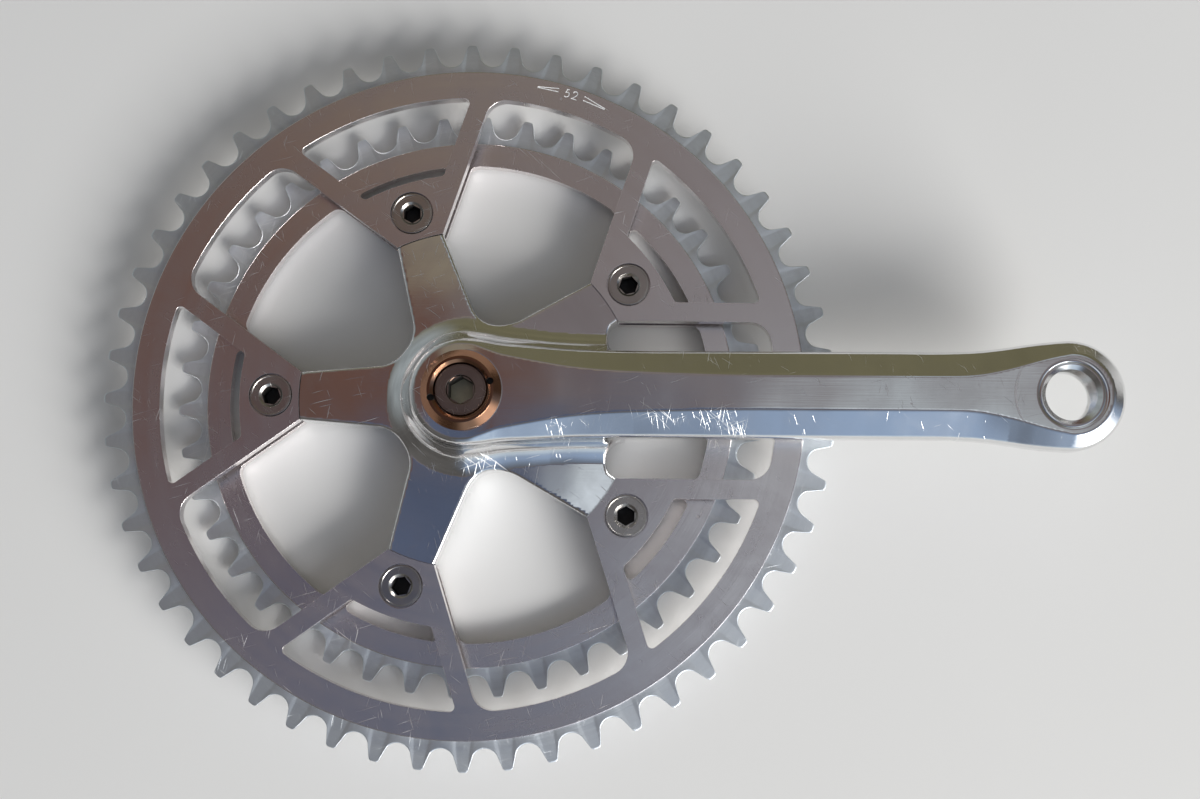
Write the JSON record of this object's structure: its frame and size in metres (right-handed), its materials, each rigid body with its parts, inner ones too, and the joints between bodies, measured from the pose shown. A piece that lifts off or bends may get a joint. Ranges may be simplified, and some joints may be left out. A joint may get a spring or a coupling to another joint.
{
  "type": "bicycle crankset",
  "caption": "Bicycle crankset: forged crank arm with a five-arm spider, two toothed chainrings with windowed webs, ring bolts, and a captive crank bolt.",
  "frame": {"origin": "on the bottom bracket axis, in the plane of the hub's back face", "axes": "+X from the bottom bracket axis to the pedal axis, +Z outboard along the bottom bracket axis, so the part lies on its back"},
  "size_m": [0.2933, 0.2156, 0.0342],
  "materials": {
    "polished_alloy": "polished forging with fine scratches",
    "satin_alloy": "satin anodised, turned faces, bright worn teeth",
    "chromed_steel": "bright chromed steel",
    "zinc_steel": "plain zinc-plated steel"
  },
  "bodies": {
    "root": {"crank_arm": "polished_alloy", "outer_chainring": "satin_alloy", "inner_chainring": "satin_alloy", "extractor_ring": "chromed_steel", "chainring_bolt_1": "chromed_steel", "chainring_bolt_2": "chromed_steel", "chainring_bolt_3": "chromed_steel", "chainring_bolt_4": "chromed_steel", "chainring_bolt_5": "chromed_steel", "chainring_nut_1": "zinc_steel", "chainring_nut_2": "zinc_steel", "chainring_nut_3": "zinc_steel", "chainring_nut_4": "zinc_steel", "chainring_nut_5": "zinc_steel"},
    "bolt_float": {"crank_bolt_washer": "zinc_steel", "friction_washer": "zinc_steel"},
    "bolt_turn": {"crank_bolt": "chromed_steel"}
  },
  "joints": [
    {"name": "crank_bolt_float", "type": "slide", "parent": "root", "child": "bolt_float", "axis": [0, 0, 1], "range_m": [0, 0.0008]},
    {"name": "crank_bolt_turn", "type": "hinge", "parent": "bolt_float", "child": "bolt_turn", "pos_m": [0, 0, 0.0185], "axis": [0, 0, 1], "continuous": true}
  ]
}
